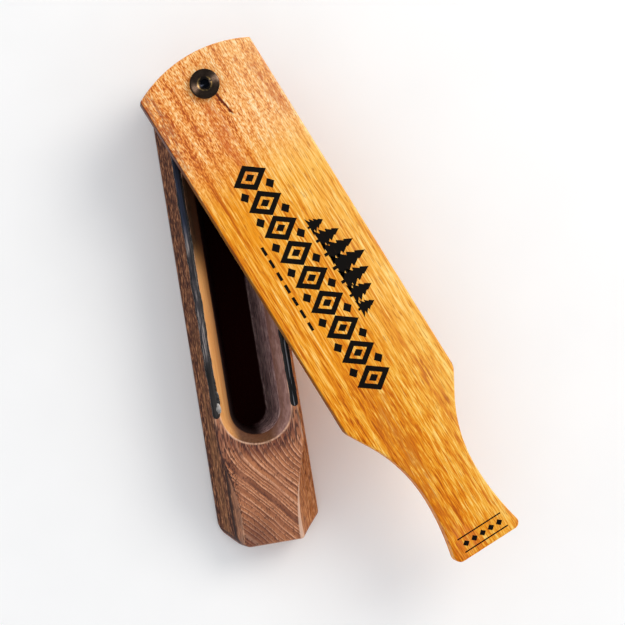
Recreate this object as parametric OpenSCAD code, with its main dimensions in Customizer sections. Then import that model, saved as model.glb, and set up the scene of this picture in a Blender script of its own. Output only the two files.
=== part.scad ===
// Box turkey call: a hollowed one-piece sound box with a friction rail on each lip,
// and a paddle lid that swings and rocks on a sprung screw.
// Frame: +X runs from the pivot screw towards the ramped end, +Z is up,
// and the origin is on the base plane, straight below the screw.

/* [Sound box] */
// Width across the foot of the box
foot_w = 47.4; // [45:0.1:50]
// Width across the narrow waist of the box
waist_w = 27.5; // [27:0.1:29]
// Height of the lips above the table
box_h = 40; // [39.5:0.1:41]
// Distance from the screw to the ramped end
box_reach = 210.5; // [200:0.5:216]
// Distance from the screw back to the near end
box_back = 12; // [11:0.5:13]
// Radius of the hollow along each outer side
cove_r = 22; // [21.5:0.1:22.5]
// Height of the waist above the table
cove_z = 24; // [23.5:0.1:24.5]
// Size of the flats across the four upright corners
corner_cut = 9.8; // [6:0.1:11]
// Slope of the far ramp, in degrees
ramp_slope = 25; // [20:1:28]
// Where the top starts to curve down into the ramp
ramp_start = 156; // [152:0.5:160]
// Radius of that curve
ramp_r = 50; // [40:1:60]
// Height of the lowered seat around the spring
seat_h = 37.5; // [37:0.1:38]
// Where the lowered seat ends
seat_reach = 18; // [17.5:0.1:19]

/* [Sound chamber] */
// Half width of the mouth, across the outer edge of its bevel
mouth_half = 16.4; // [15.8:0.1:16.6]
// Half width at the inner edge of the bevel
throat_half = 11.3; // [10.5:0.1:11.4]
// Half width of the floor, before its rounded corner
floor_half = 7.8; // [7:0.1:9]
// Thickness of the floor
floor_t = 5; // [4:0.5:8]
// Radius of the floor's corner
floor_fillet = 2.5; // [1:0.1:4]
// Centre of the rounded near end
chamber_near = 40.4; // [39:0.1:44]
// Centre of the rounded far end
chamber_far = 147.6; // [145:0.1:149]

/* [Friction rails] */
// Width of each rail
rail_w = 2.6; // [2:0.1:2.6]
// Distance from the middle of the box to the inner edge of a rail
rail_inner = 16.8; // [16.7:0.1:16.9]
// Thickness of each rail
rail_t = 1.3; // [1:0.1:1.4]
// Thickness of the glue under each rail
glue_t = 0.2; // [0.1:0.05:0.3]
// How far each rail stands above the lip
rail_proud = 0.3; // [0.1:0.1:0.5]
// Near end of the rails
rail_near = 24; // [23:0.5:28]
// Far end of the rails
rail_far = 149; // [140:0.5:151]

/* [Lid] */
// Swing of the lid away from the closed position, in degrees
lid_swing = 22.6; // [0:0.1:40]
// Width of the lid
lid_w = 58; // [56:0.1:60]
// Thickness of the lid along its middle
lid_t = 12.5; // [12:0.1:13]
// Radius of the crowned underside
crown_r = 155; // [150:1:240]
// Gap between the crown and the rails when the lid hangs level
lid_gap = 0.2; // [0.15:0.05:0.4]
// Distance from the screw to the rounded front edge
lid_front = 15.2; // [14:0.1:17]
// Radius of the front edge
front_r = 62; // [50:1:80]
// Where the wide part of the lid ends at its shoulders
shoulder_x = 166.8; // [162:0.1:170]
// Radius of the two shoulder corners
shoulder_r = 4; // [1:0.5:8]
// Slope of the shoulders to the lid's length, in degrees
shoulder_slope = 30; // [28:0.5:32]
// Narrowest width of the handle
grip_w = 26.7; // [25:0.1:30]
// Radius of the curve from the shoulder into the grip
grip_r = 67; // [60:1:70]
// Radius of the flare at the end of the handle
flare_r = 118; // [90:1:150]
// Distance from the screw to the end of the handle
lid_reach = 243.8; // [238:0.1:250]
// Radius of the handle's two end corners
handle_corner_r = 3; // [1:0.5:4]
// Diameter of the hole for the screw
lid_bore = 8.4; // [8.3:0.1:9]

/* [Pivot] */
// Diameter of the screw head
head_d = 13.5; // [13:0.1:15]
// Thickness of the screw head
head_t = 2.2; // [2.2:0.1:3]
// Diameter of the screw shank
shank_d = 6; // [5.5:0.1:6]
// Hex socket across its flats
hex_af = 4; // [3:0.1:4.5]
// Depth of the hex socket below its dish
hex_deep = 1.7; // [1:0.1:2]
// Thickness of both washers
washer_t = 0.8; // [0.5:0.1:1]
// Outer diameter of the washer under the head
head_washer_d = 12.5; // [11:0.1:13]
// Outer diameter of the washer on the spring
spring_washer_d = 10; // [9.6:0.1:10.2]
// Outer diameter of the spring
spring_d = 9.6; // [9.4:0.1:9.8]
// Wire of the spring
wire_d = 1; // [0.8:0.1:1.2]
// Turns of the spring
spring_turns = 5.5; // [4:0.5:7]
// Diameter of the pocket for the spring
pocket_d = 10.8; // [10.6:0.1:11.4]
// Height of the pocket's floor above the table
pocket_floor = 27; // [25:0.5:28]
// Overall length of the threaded insert
insert_l = 13; // [10:0.5:13]
// Outer diameter of the insert below its flange
insert_d = 9.4; // [9:0.1:9.8]
// Thickness of the insert's flange
flange_t = 1; // [0.8:0.1:1.5]

/* [Hidden] */
$fn = 96;

LEFT = -1;
RIGHT = 1;
OVER = 1;                  // how far a cutter runs past a face
FIT = 0.05;                // radial clearance of a running fit

// The box
cove_y = waist_w / 2 + cove_r;
lip_edge = cove_y - sqrt(pow(cove_r, 2) - pow(box_h - cove_z, 2));
lip_ease = 1.75;
end_half = foot_w / 2 - corner_cut;
seat_rise = 3;
ramp_top_x = ramp_start + ramp_r * sin(ramp_slope);
ramp_top_z = box_h - ramp_r * (1 - cos(ramp_slope));
ramp_corner_x = ramp_start + ramp_r * tan(ramp_slope / 2);
ramp_end_z = ramp_top_z - (box_reach - ramp_top_x) * tan(ramp_slope);

// The chamber: its wall leans out from the floor to the throat
throat_z = box_h - (mouth_half - throat_half);
wall_lean = atan((throat_half - floor_half) / (throat_z - floor_t));
fillet_y = floor_half + floor_fillet * (tan(wall_lean) - 1 / cos(wall_lean));
fillet_steps = 6;

// The rails
rail_bed_z = box_h + rail_proud - rail_t - glue_t;

// The lid: a straight shoulder runs into the arc of the grip, and that into the flare
lid_low = box_h + rail_proud + lid_gap;
lid_top = lid_low + lid_t;
lid_half = lid_w / 2;
grip_half = grip_w / 2;
shoulder_foot_x = shoulder_x + (lid_half - grip_half) / tan(shoulder_slope);
grip_waist_x = shoulder_foot_x + grip_r * tan(shoulder_slope / 2);
corner_x = lid_reach - handle_corner_r;
corner_y = grip_half + flare_r
         - sqrt(pow(flare_r + handle_corner_r, 2) - pow(corner_x - grip_waist_x, 2));

// The pivot
head_z = lid_top + washer_t;
head_chamfer = 0.5;
dish_r = 3.2;
dish_deep = 0.4;
tip_z = 12;
tip_chamfer = 1;
tip_clear_d = 7.4;
washer_bore_d = 8.2;
insert_groove = 0.8;
spring_z = pocket_floor + flange_t;
spring_top = lid_low - washer_t;
coil_r = (spring_d - wire_d) / 2;
coil_steps = 16;
wire_sides = 8;

// Cross-section of the box, in Y and Z: a wide foot, hollowed sides and eased lips.
module box_section() {
  difference() {
    translate([-foot_w / 2, 0])
      square([foot_w, box_h]);
    for (side = [LEFT, RIGHT]) {
      translate([side * cove_y, cove_z])
        circle(r = cove_r, $fn = 180);
      translate([side * lip_edge, box_h])
        rotate(45)
          square(lip_ease * sqrt(2), center = true);
    }
  }
}

// Side view of the box, in X and Z: a lowered seat, level lips, a curve and the ramp.
module box_side() {
  difference() {
    polygon([
      [-box_back, 0],
      [-box_back, seat_h],
      [seat_reach, seat_h],
      [seat_reach + seat_rise, box_h],
      [ramp_corner_x, box_h],
      [box_reach, ramp_end_z],
      [box_reach, 0]
    ]);
    difference() {
      polygon([
        [ramp_start, box_h],
        [ramp_start, box_h + OVER],
        [ramp_top_x + OVER, box_h + OVER],
        [ramp_top_x, ramp_top_z]
      ]);
      translate([ramp_start, box_h - ramp_r])
        circle(r = ramp_r, $fn = 180);
    }
  }
}

// Plan of the box: a rectangle with its four corners cut off.
module box_plan() {
  polygon([
    [-box_back, -end_half],
    [-box_back, end_half],
    [corner_cut - box_back, foot_w / 2],
    [box_reach - corner_cut, foot_w / 2],
    [box_reach, end_half],
    [box_reach, -end_half],
    [box_reach - corner_cut, -foot_w / 2],
    [corner_cut - box_back, -foot_w / 2]
  ]);
}

// Half section of the sound chamber, from its middle outwards.
module chamber_half() {
  polygon(concat(
    [[0, floor_t]],
    [for (i = [0:fillet_steps])
      let (a = -90 + i * (90 - wall_lean) / fillet_steps)
        [fillet_y + floor_fillet * cos(a), floor_t + floor_fillet * (1 + sin(a))]],
    [
      [throat_half, throat_z],
      [mouth_half + OVER, box_h + OVER],
      [0, box_h + OVER]
    ]
  ));
}

// The chamber: the half section swept around both ends and along both sides.
module chamber() {
  for (x = [chamber_near, chamber_far])
    translate([x, 0, 0])
      rotate_extrude()
        chamber_half();
  translate([chamber_near, 0, 0])
    rotate([90, 0, 90])
      linear_extrude(chamber_far - chamber_near) {
        chamber_half();
        mirror([1, 0])
          chamber_half();
      }
}

// Plan of a rail: a strip along one lip, with round ends.
module rail_plan(side) {
  middle = side * (rail_inner + rail_w / 2);
  ends = [rail_near + rail_w / 2, rail_far - rail_w / 2];
  translate([ends[0], middle - rail_w / 2])
    square([ends[1] - ends[0], rail_w]);
  for (x = ends)
    translate([x, middle])
      circle(d = rail_w, $fn = 48);
}

// Bed cut for a rail, open along the outer side of its lip.
module rail_bed(side) {
  middle = side * (rail_inner + rail_w / 2);
  translate([0, 0, rail_bed_z])
    linear_extrude(box_h) {
      rail_plan(side);
      translate([rail_near + rail_w / 2, middle - (side == LEFT ? rail_w : 0)])
        square([rail_far - rail_near - rail_w, rail_w]);
    }
}

module sound_box() color("saddlebrown")
  difference() {
    intersection() {
      translate([-box_back, 0, 0])
        rotate([90, 0, 90])
          linear_extrude(box_back + box_reach)
            box_section();
      translate([0, foot_w / 2, 0])
        rotate([90, 0, 0])
          linear_extrude(foot_w)
            box_side();
      linear_extrude(box_h)
        box_plan();
    }
    chamber();
    for (side = [LEFT, RIGHT])
      rail_bed(side);
    translate([0, 0, pocket_floor])
      cylinder(d = pocket_d, h = box_h);
    translate([0, 0, spring_z - insert_l])
      cylinder(d = insert_d, h = insert_l);
    translate([0, 0, tip_z - OVER])
      cylinder(d = tip_clear_d, h = box_h);
  }

module friction_rail(side) color("darkslategray")
  translate([0, 0, rail_bed_z + glue_t])
    linear_extrude(rail_t)
      rail_plan(side);

module rail_glue(side) color("black")
  translate([0, 0, rail_bed_z])
    linear_extrude(glue_t)
      rail_plan(side);

// Threaded insert: a flanged sleeve with outer grooves that grip the wood.
module threaded_insert() color("goldenrod")
  translate([0, 0, spring_z - insert_l])
    difference() {
      union() {
        cylinder(d = insert_d, h = insert_l);
        translate([0, 0, insert_l - flange_t])
          cylinder(d = pocket_d - 2 * FIT, h = flange_t);
      }
      for (z = [2:2:insert_l - 2 * flange_t])
        translate([0, 0, z])
          difference() {
            cylinder(d = insert_d + OVER, h = insert_groove);
            cylinder(d = insert_d - insert_groove, h = insert_groove);
          }
      translate([0, 0, -OVER])
        cylinder(d = shank_d + 2 * FIT, h = insert_l + 2 * OVER);
    }

// A point on the surface of the spring's wire, at a step along it and a side around it.
function wire_point(step, side) =
  let (turn = 360 * step / coil_steps,
       around = 360 * side / wire_sides,
       rise = (spring_top - spring_z - wire_d) * step / (coil_steps * spring_turns),
       r = coil_r + wire_d / 2 * cos(around))
    [r * cos(turn), r * sin(turn), spring_z + wire_d / 2 * (1 + sin(around)) + rise];

module lid_spring() color("silver") {
  steps = coil_steps * spring_turns;
  points = [for (i = [0:steps], s = [0:wire_sides - 1]) wire_point(i, s)];
  walls = [for (i = [0:steps - 1], s = [0:wire_sides - 1])
            let (a = i * wire_sides + s, b = i * wire_sides + (s + 1) % wire_sides)
              [a, b, b + wire_sides, a + wire_sides]];
  near_cap = [for (s = [wire_sides - 1:-1:0]) s];
  far_cap = [for (s = [0:wire_sides - 1]) steps * wire_sides + s];
  polyhedron(points, concat(walls, [near_cap, far_cap]));
}

// Screw: a flat head with a dished hex socket, and a shank drawn without its thread.
module pivot_screw() color("dimgray")
  difference() {
    union() {
      translate([0, 0, head_z])
        cylinder(d = head_d, h = head_t - head_chamfer);
      translate([0, 0, head_z + head_t - head_chamfer])
        cylinder(d1 = head_d, d2 = head_d - 2 * head_chamfer, h = head_chamfer);
      translate([0, 0, tip_z + tip_chamfer])
        cylinder(d = shank_d, h = head_z - tip_z);
      translate([0, 0, tip_z])
        cylinder(d1 = shank_d - 2 * tip_chamfer, d2 = shank_d, h = tip_chamfer);
    }
    translate([0, 0, head_z + head_t - dish_deep - hex_deep])
      cylinder(d = hex_af / cos(30), h = head_t + OVER, $fn = 6);
    translate([0, 0, head_z + head_t - dish_deep])
      cylinder(r1 = dish_r - dish_deep, r2 = dish_r + dish_deep, h = 2 * dish_deep);
  }

module washer(outer_d, bore_d) {
  difference() {
    cylinder(d = outer_d, h = washer_t);
    translate([0, 0, -OVER])
      cylinder(d = bore_d, h = washer_t + 2 * OVER);
  }
}

module head_washer() color("gray")
  translate([0, 0, lid_top])
    washer(head_washer_d, shank_d + 2 * FIT);

// The long cylinder whose lowest line is the crown of the lid.
module crown() {
  translate([-lid_reach, 0, lid_low + crown_r])
    rotate([0, 90, 0])
      cylinder(r = crown_r, h = 2 * lid_reach, $fn = 360);
}

// Washer between the spring and the lid, dished on top to fit the crown.
module spring_washer() color("gray")
  rotate([0, 0, lid_swing])
    difference() {
      translate([0, 0, spring_top])
        washer(spring_washer_d, washer_bore_d);
      crown();
    }

// Points along an arc about a centre, from one angle to another.
function arc(centre, r, from, to, steps) =
  [for (i = [0:steps])
    let (a = from + (to - from) * i / steps)
      centre + r * [cos(a), sin(a)]];

// Outline of the lid: front arc, straight side, shoulder, grip, flare and end corner.
module lid_plan() {
  front_angle = asin(lid_half / front_r);
  flare_angle = asin((corner_x - grip_waist_x) / (flare_r + handle_corner_r));
  side = concat(
    arc([front_r - lid_front, 0], front_r, 180, 180 - front_angle, 14),
    arc([shoulder_x - shoulder_r * tan(shoulder_slope / 2), lid_half - shoulder_r],
        shoulder_r, 90, 90 - shoulder_slope, 4),
    arc([grip_waist_x, grip_half + grip_r], grip_r, 270 - shoulder_slope, 270, 14),
    arc([grip_waist_x, grip_half + flare_r], flare_r, 271, 270 + flare_angle, 8),
    arc([corner_x, corner_y], handle_corner_r, 90 + flare_angle, 0, 6)
  );
  polygon(concat(side, [for (i = [len(side) - 1:-1:1]) [side[i][0], -side[i][1]]]));
}

module paddle_lid() color("orange")
  rotate([0, 0, lid_swing])
    difference() {
      intersection() {
        translate([0, 0, lid_low - OVER])
          linear_extrude(lid_t + OVER)
            lid_plan();
        crown();
      }
      translate([0, 0, lid_low - OVER])
        cylinder(d = lid_bore, h = lid_t + 2 * OVER);
    }

sound_box();
friction_rail(LEFT);  // left_friction_rail
friction_rail(RIGHT);  // right_friction_rail
rail_glue(LEFT);  // left_rail_glue
rail_glue(RIGHT);  // right_rail_glue
threaded_insert();
lid_spring();
pivot_screw();
head_washer();
spring_washer();
paddle_lid();
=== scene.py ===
import math

import bmesh
import bpy
import numpy as np
from mathutils import Matrix, Vector


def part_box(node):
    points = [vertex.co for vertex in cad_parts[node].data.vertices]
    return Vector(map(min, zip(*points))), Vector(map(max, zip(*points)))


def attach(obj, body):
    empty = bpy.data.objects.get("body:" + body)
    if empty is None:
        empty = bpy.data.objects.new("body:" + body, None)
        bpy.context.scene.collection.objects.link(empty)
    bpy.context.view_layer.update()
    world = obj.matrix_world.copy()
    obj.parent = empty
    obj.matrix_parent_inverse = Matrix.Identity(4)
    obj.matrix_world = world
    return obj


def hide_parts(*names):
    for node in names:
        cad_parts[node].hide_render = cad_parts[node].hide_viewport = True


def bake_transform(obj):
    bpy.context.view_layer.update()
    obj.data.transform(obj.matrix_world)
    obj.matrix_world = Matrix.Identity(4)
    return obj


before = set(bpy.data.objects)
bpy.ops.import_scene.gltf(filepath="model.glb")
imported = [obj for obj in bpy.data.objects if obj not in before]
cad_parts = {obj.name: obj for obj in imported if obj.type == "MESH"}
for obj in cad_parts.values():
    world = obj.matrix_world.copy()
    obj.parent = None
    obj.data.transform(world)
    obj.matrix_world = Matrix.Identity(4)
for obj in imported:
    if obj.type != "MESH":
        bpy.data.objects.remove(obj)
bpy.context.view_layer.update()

MM = 0.001
TAU = 2 * math.pi
LEFT, RIGHT = -1, 1

# Sizes are in millimetres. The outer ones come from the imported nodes.
box_low, box_high = (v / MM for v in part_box("sound_box"))
rail_low, rail_high = (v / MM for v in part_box("right_friction_rail"))
lid_box_low, lid_box_high = (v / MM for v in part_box("paddle_lid"))
screw_low, screw_high = (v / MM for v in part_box("pivot_screw"))
insert_low, insert_high = (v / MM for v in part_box("threaded_insert"))
spring_low, spring_high = (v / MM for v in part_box("lid_spring"))

# Sound box
BOX_MIDDLE = (box_low.x + box_high.x) / 2
BOX_HALF = (box_high.x - box_low.x) / 2
FOOT_HALF = box_high.y
BOX_TOP = box_high.z
COVE_R = 22.0
COVE_Y = 35.75
COVE_Z = 24.0
LIP_EDGE = COVE_Y - math.sqrt(COVE_R**2 - (BOX_TOP - COVE_Z) ** 2)
LIP_EASE = 1.75
CORNER_CUT = 9.8
RAMP_START = 156.0
RAMP_R = 50.0
RAMP_SLOPE = math.radians(25)
RAMP_FOOT_X = RAMP_START + RAMP_R * math.sin(RAMP_SLOPE)
RAMP_FOOT_Z = BOX_TOP - RAMP_R * (1 - math.cos(RAMP_SLOPE))
SEAT_TOP = 37.5
SEAT_END = 18.0
SEAT_RISE = 3.0
BY_RAMP_X = (RAMP_START - 6, RAMP_START + 16)  # where the sides' colour changes

# Chamber
MOUTH_HALF = 16.4
THROAT_HALF = 11.3
FLOOR_HALF = 7.8
FLOOR_TOP = 5.0
FLOOR_FILLET = 2.5
CHAMBER_NEAR = 40.4
CHAMBER_FAR = 147.6
THROAT_Z = BOX_TOP - (MOUTH_HALF - THROAT_HALF)
POCKET_R = 5.4
SHAFT_R = 3.7

# Lid
SWING = math.radians(22.6)
LID_TOP = lid_box_high.z
LID_LOW = lid_box_low.z
LID_HALF = 29.0
CROWN_R = 155.0
LID_FRONT = 15.2
FRONT_R = 62.0
SHOULDER_X = 166.8
SHOULDER_EASE = 0.9
SHOULDER_SLOPE = math.radians(30)
GRIP_HALF = 13.35
GRIP_R = 67.0
FLARE_R = 118.0
LID_REACH = 243.8
LID_BORE_R = 4.2
GRIP_FOOT_X = SHOULDER_X + (LID_HALF - GRIP_HALF) / math.tan(SHOULDER_SLOPE)
GRIP_X = GRIP_FOOT_X + GRIP_R * math.tan(SHOULDER_SLOPE / 2)
GRIP_START = GRIP_X - GRIP_R * math.sin(SHOULDER_SLOPE)

# Rails, glue and hardware
RAIL_HALF = (rail_high.y - rail_low.y) / 2
RAIL_Y = rail_low.y + RAIL_HALF
GLUE_THICK = 0.2
GLUE_SPILL = 0.42
SHANK_R = 3.0
INSERT_BORE_R = 3.05
WASHER_THICK = 0.8


# ---- Mesh tools


def make_piece(name, points, faces, smooth=True):
    """A mesh object from points in millimetres."""
    mesh = bpy.data.meshes.new(name)
    places = (np.asarray(points, float) * MM).tolist()
    mesh.from_pydata(places, [], [[int(number) for number in face] for face in faces])
    mesh.update()
    if smooth:
        mesh.shade_smooth()
    else:
        mesh.shade_flat()
    piece = bpy.data.objects.new(name, mesh)
    bpy.context.scene.collection.objects.link(piece)
    return piece


def settle(piece, body, slot, material, *replaced):
    """Puts a piece on its body, with its material, and hides the nodes that it stands for. slot is not
    used.
    """
    piece.data.materials.append(material)
    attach(piece, body)
    if replaced:
        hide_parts(*replaced)


def round_max(a, b, r):
    """The larger of two distances, with the edge between them rounded."""
    return np.minimum(np.maximum(a, b), -r) + np.hypot(np.maximum(a + r, 0), np.maximum(b + r, 0))


def round_min(a, b, r):
    """The smaller of two distances, with the corner between them rounded."""
    return -round_max(-a, -b, r)


def grid_line(*stops):
    """Coordinates along one axis from (place, step) pairs; the last pair ends the line."""
    line = []
    for (start, step), (end, _) in zip(stops, stops[1:]):
        count = max(1, round((end - start) / step))
        line.extend(np.linspace(start, end, count, endpoint=False))
    return np.array(line + [stops[-1][0]])


def mirrored(*stops):
    """A grid line that is the same on both sides of zero."""
    half = grid_line(*stops)
    return np.concatenate([-half[:0:-1], half])


def corner_of(field, offset):
    """The part of a field at one corner of every cell."""
    return field[tuple(slice(o, n - 1 + o) for o, n in zip(offset, field.shape))]


def crossings(value, lines):
    """For each cell, the sum of the places where its edges cross the surface, and their number."""
    cells = tuple(n - 1 for n in value.shape)
    total, count = np.zeros(cells + (3,)), np.zeros(cells)
    axes = np.meshgrid(*lines, indexing="ij")
    for axis in range(3):
        for first, second in ((0, 0), (0, 1), (1, 0), (1, 1)):
            start = [first, second]
            start.insert(axis, 0)
            end = list(start)
            end[axis] = 1
            a, b = corner_of(value, start), corner_of(value, end)
            hit = (a < 0) != (b < 0)
            share = np.where(hit, a / np.where(hit, a - b, 1), 0)
            for k in range(3):
                low, high = corner_of(axes[k], start), corner_of(axes[k], end)
                total[..., k] += np.where(hit, low + share * (high - low), 0)
            count += hit
    return total, count


def skin(shape, lines, pulls=4):
    """Quads over the zero surface of a distance function, with every point on that surface."""
    value = shape(np.stack(np.meshgrid(*lines, indexing="ij"), -1))
    total, count = crossings(value, lines)
    used = count > 0
    number = np.cumsum(used.ravel()).reshape(used.shape) - 1
    points = total[used] / count[used][:, None]
    faces = []
    for axis in range(3):
        b, c = (axis + 1) % 3, (axis + 2) % 3
        a_side, b_side = [slice(1, -1)] * 3, [slice(1, -1)] * 3
        a_side[axis], b_side[axis] = slice(0, -1), slice(1, None)
        here, there = value[tuple(a_side)] < 0, value[tuple(b_side)] < 0
        for where, order in ((here & ~there, 1), (there & ~here, -1)):
            quad = []
            for step_b, step_c in ((0, 0), (1, 0), (1, 1), (0, 1)):
                at = np.argwhere(where)
                at[:, b] += step_b
                at[:, c] += step_c
                quad.append(number[tuple(at.T)])
            faces.append(np.stack(quad[::order], 1))
    for _ in range(pulls):
        points = points - pull(shape, points)
    return points, np.concatenate(faces)


def pull(shape, points, tiny=0.02, most=0.35, flattest=0.25):
    """How far each point is from the surface, as a step along the surface's normal."""
    rises = [shape(points + tiny * axis) - shape(points - tiny * axis) for axis in np.eye(3)]
    slope = np.stack(rises, 1) / (2 * tiny)
    size = np.maximum((slope**2).sum(1), flattest)
    step = (shape(points) / size)[:, None] * slope
    length = np.linalg.norm(step, axis=1, keepdims=True)
    return step * np.minimum(1, most / np.maximum(length, 1e-9))


def mark_edges(piece, distances, reach=0.9):
    """Stores how near each point is to two surfaces at once, from 0 to 1, for the colour of edges."""
    nearest = np.sort(np.stack(distances, -1), axis=-1)
    edge_wear_and_highlight = np.clip(1 + nearest[..., -2] / reach, 0, 1)
    attribute = piece.data.attributes.new("edge", "FLOAT", "POINT")
    attribute.data.foreach_set("value", edge_wear_and_highlight.astype(np.float32))


def eased(corners, radius, steps=3):
    """A closed profile with each corner turned into a small curve."""
    corners = [np.array(c, float) for c in corners]
    out = []
    for before, here, after in zip(corners[-1:] + corners[:-1], corners, corners[1:] + corners[:1]):
        legs = [other - here for other in (before, after)]
        start, end = (here + leg * min(radius / np.linalg.norm(leg), 0.45) for leg in legs)
        for t in np.linspace(0, 1, steps + 1):
            out.append((1 - t) ** 2 * start + 2 * t * (1 - t) * here + t**2 * end)
    return out


def spun(rows, segments, ring=False):
    """Points and faces of rings round Z. A row is (radius, height), and a radius may vary with the angle.
    The rows run outwards along the top, down and back in; a ring's last row joins its first."""
    turn = np.arange(segments) * TAU / segments
    points, faces = [], []
    for radius, height in rows:
        r, z = np.broadcast_to(radius, segments), np.broadcast_to(height, segments)
        points.extend(np.stack([r * np.cos(turn), r * np.sin(turn), z], 1))
    count = len(rows)
    for i in range(count if ring else count - 1):
        a, b = i * segments, (i + 1) % count * segments
        for j in range(segments):
            k = (j + 1) % segments
            faces.append((a + j, b + j, b + k, a + k))
    if not ring:
        for first, height, order in ((0, rows[0][1], 1), ((count - 1) * segments, rows[-1][1], -1)):
            points.append(np.array([0, 0, float(np.mean(height))]))
            fan = [(len(points) - 1, first + j, first + (j + 1) % segments) for j in range(segments)]
            faces += [face[::order] for face in fan]
    return points, faces


def turned_about_z(points, angle):
    c, s = math.cos(angle), math.sin(angle)
    x, y, z = np.asarray(points, float).T
    return np.stack([x * c - y * s, x * s + y * c, z], 1)


def ripple(t, seed, waves):
    """A smooth irregular wave: a sum of (length, height) sines with phases from a seed."""
    phases = np.random.default_rng(seed).uniform(0, TAU, len(waves))
    return sum(height * np.sin(TAU * t / length + p) for (length, height), p in zip(waves, phases))


def side_name(side):
    return "left" if side == LEFT else "right"


# ---- Materials


def tone(red, green, blue):
    """A display colour from 0 to 255 as a linear one."""
    shares = [value / 255 for value in (red, green, blue)]
    linear = [s / 12.92 if s <= 0.04045 else ((s + 0.055) / 1.055) ** 2.4 for s in shares]
    return (*linear, 1)


class Value:
    """What a node gives out. Arithmetic on it makes more nodes."""

    def __init__(self, paint, socket):
        self.paint = paint
        self.socket = socket

    def math(self, operation, a, b=0):
        return self.paint.node("ShaderNodeMath", 0, {0: a, 1: b}, operation=operation)

    def __add__(self, other):
        return self.math("ADD", self, other)

    def __sub__(self, other):
        return self.math("SUBTRACT", self, other)

    def __rsub__(self, other):
        return self.math("SUBTRACT", other, self)

    def __mul__(self, other):
        return self.math("MULTIPLY", self, other)

    def __truediv__(self, other):
        return self.math("DIVIDE", self, other)

    def __abs__(self):
        return self.math("ABSOLUTE", self)

    def most(self, other):
        return self.math("MAXIMUM", self, other)

    def hypot(self, other):
        return self.math("SQRT", self * self + other * other)

    def toward(self, other, share):
        return self + share * (other - self)

    def ease(self, low, high, first=0, last=1, kind="SMOOTHSTEP"):
        """Goes from first to last as the value goes from low to high."""
        ends = {"Value": self, "From Min": low, "From Max": high, "To Min": first, "To Max": last}
        return self.paint.node("ShaderNodeMapRange", "Result", ends, interpolation_type=kind, clamp=True)

    def band(self, middle, half, soft):
        """1 within half of the middle, and 0 beyond that plus soft."""
        return abs(self - middle).ease(half, half + soft, 1, 0)


class Paint:
    """One material's nodes. Places are millimetres in the piece's own frame."""

    def __init__(self, name, **sockets):
        self.material = bpy.data.materials.new(name)
        self.material.use_nodes = True
        self.tree = self.material.node_tree
        self.finish(**sockets)

    def finish(self, **sockets):
        surface = self.tree.nodes["Principled BSDF"]
        for name, value in sockets.items():
            self.feed(surface.inputs[name.replace("_", " ")], value)
        return self.material

    def feed(self, socket, value):
        if isinstance(value, Value):
            self.tree.links.new(value.socket, socket)
        else:
            socket.default_value = value

    def node(self, kind, output, inputs=(), **settings):
        """Makes a node, and gives one of its outputs."""
        made = self.tree.nodes.new(kind)
        for key, value in settings.items():
            setattr(made, key, value)
        for key, value in dict(inputs).items():
            self.feed(made.inputs[key], value)
        return Value(self, made.outputs[output])

    def place(self, scale=(1, 1, 1), turn=0, tilt=0, shift=(0, 0, 0)):
        """Where a point is, tilted about X and turned about Z, then scaled to a grain's proportions."""
        place = self.node("ShaderNodeTexCoord", "Object")
        if turn or tilt:
            place = self.node("ShaderNodeMapping", 0, {"Vector": place, "Rotation": (tilt, 0, turn)})
        stretch = {"Vector": place, "Scale": [s / MM for s in scale], "Location": shift}
        return self.node("ShaderNodeMapping", 0, stretch)

    def xyz(self, **turned):
        place = self.place(**turned)
        return [self.node("ShaderNodeSeparateXYZ", axis, {0: place}) for axis in "XYZ"]

    def noise(self, grain=(1, 1, 1), turn=0, shift=(0, 0, 0), scale=1, detail=3, rough=0.55, warp=0):
        place = self.place(grain, turn, shift=shift)
        look = {"Scale": scale, "Detail": detail, "Roughness": rough, "Distortion": warp}
        return self.node("ShaderNodeTexNoise", "Fac", {"Vector": place, **look})

    def noise_along(self, value, scale=2, detail=3):
        """Noise along one number, such as a radius."""
        look = {"W": value, "Scale": scale, "Detail": detail}
        return self.node("ShaderNodeTexNoise", "Fac", look, noise_dimensions="1D")

    def edge_wear_and_highlight(self):
        """Nearness to an edge, as mark_edges stored it."""
        return self.node("ShaderNodeAttribute", "Fac", attribute_name="edge")

    def ramp(self, value, *stops):
        """Colours at places from 0 to 1, as (place, colour) pairs."""
        made = self.node("ShaderNodeValToRGB", "Color", {"Fac": value})
        elements = made.socket.node.color_ramp.elements
        for element, (where, colour) in zip(elements, (stops[0], stops[-1])):
            element.position, element.color = where, colour
        for where, colour in stops[1:-1]:
            elements.new(where).color = colour
        return made

    def mix(self, share, a, b):
        """Colour a with a share of colour b."""
        return self.node("ShaderNodeMix", 2, {0: share, 6: a, 7: b}, data_type="RGBA")

    def bump(self, height, distance, strength):
        values = {"Height": height, "Distance": distance * MM, "Strength": strength}
        return self.node("ShaderNodeBump", "Normal", values)


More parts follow.
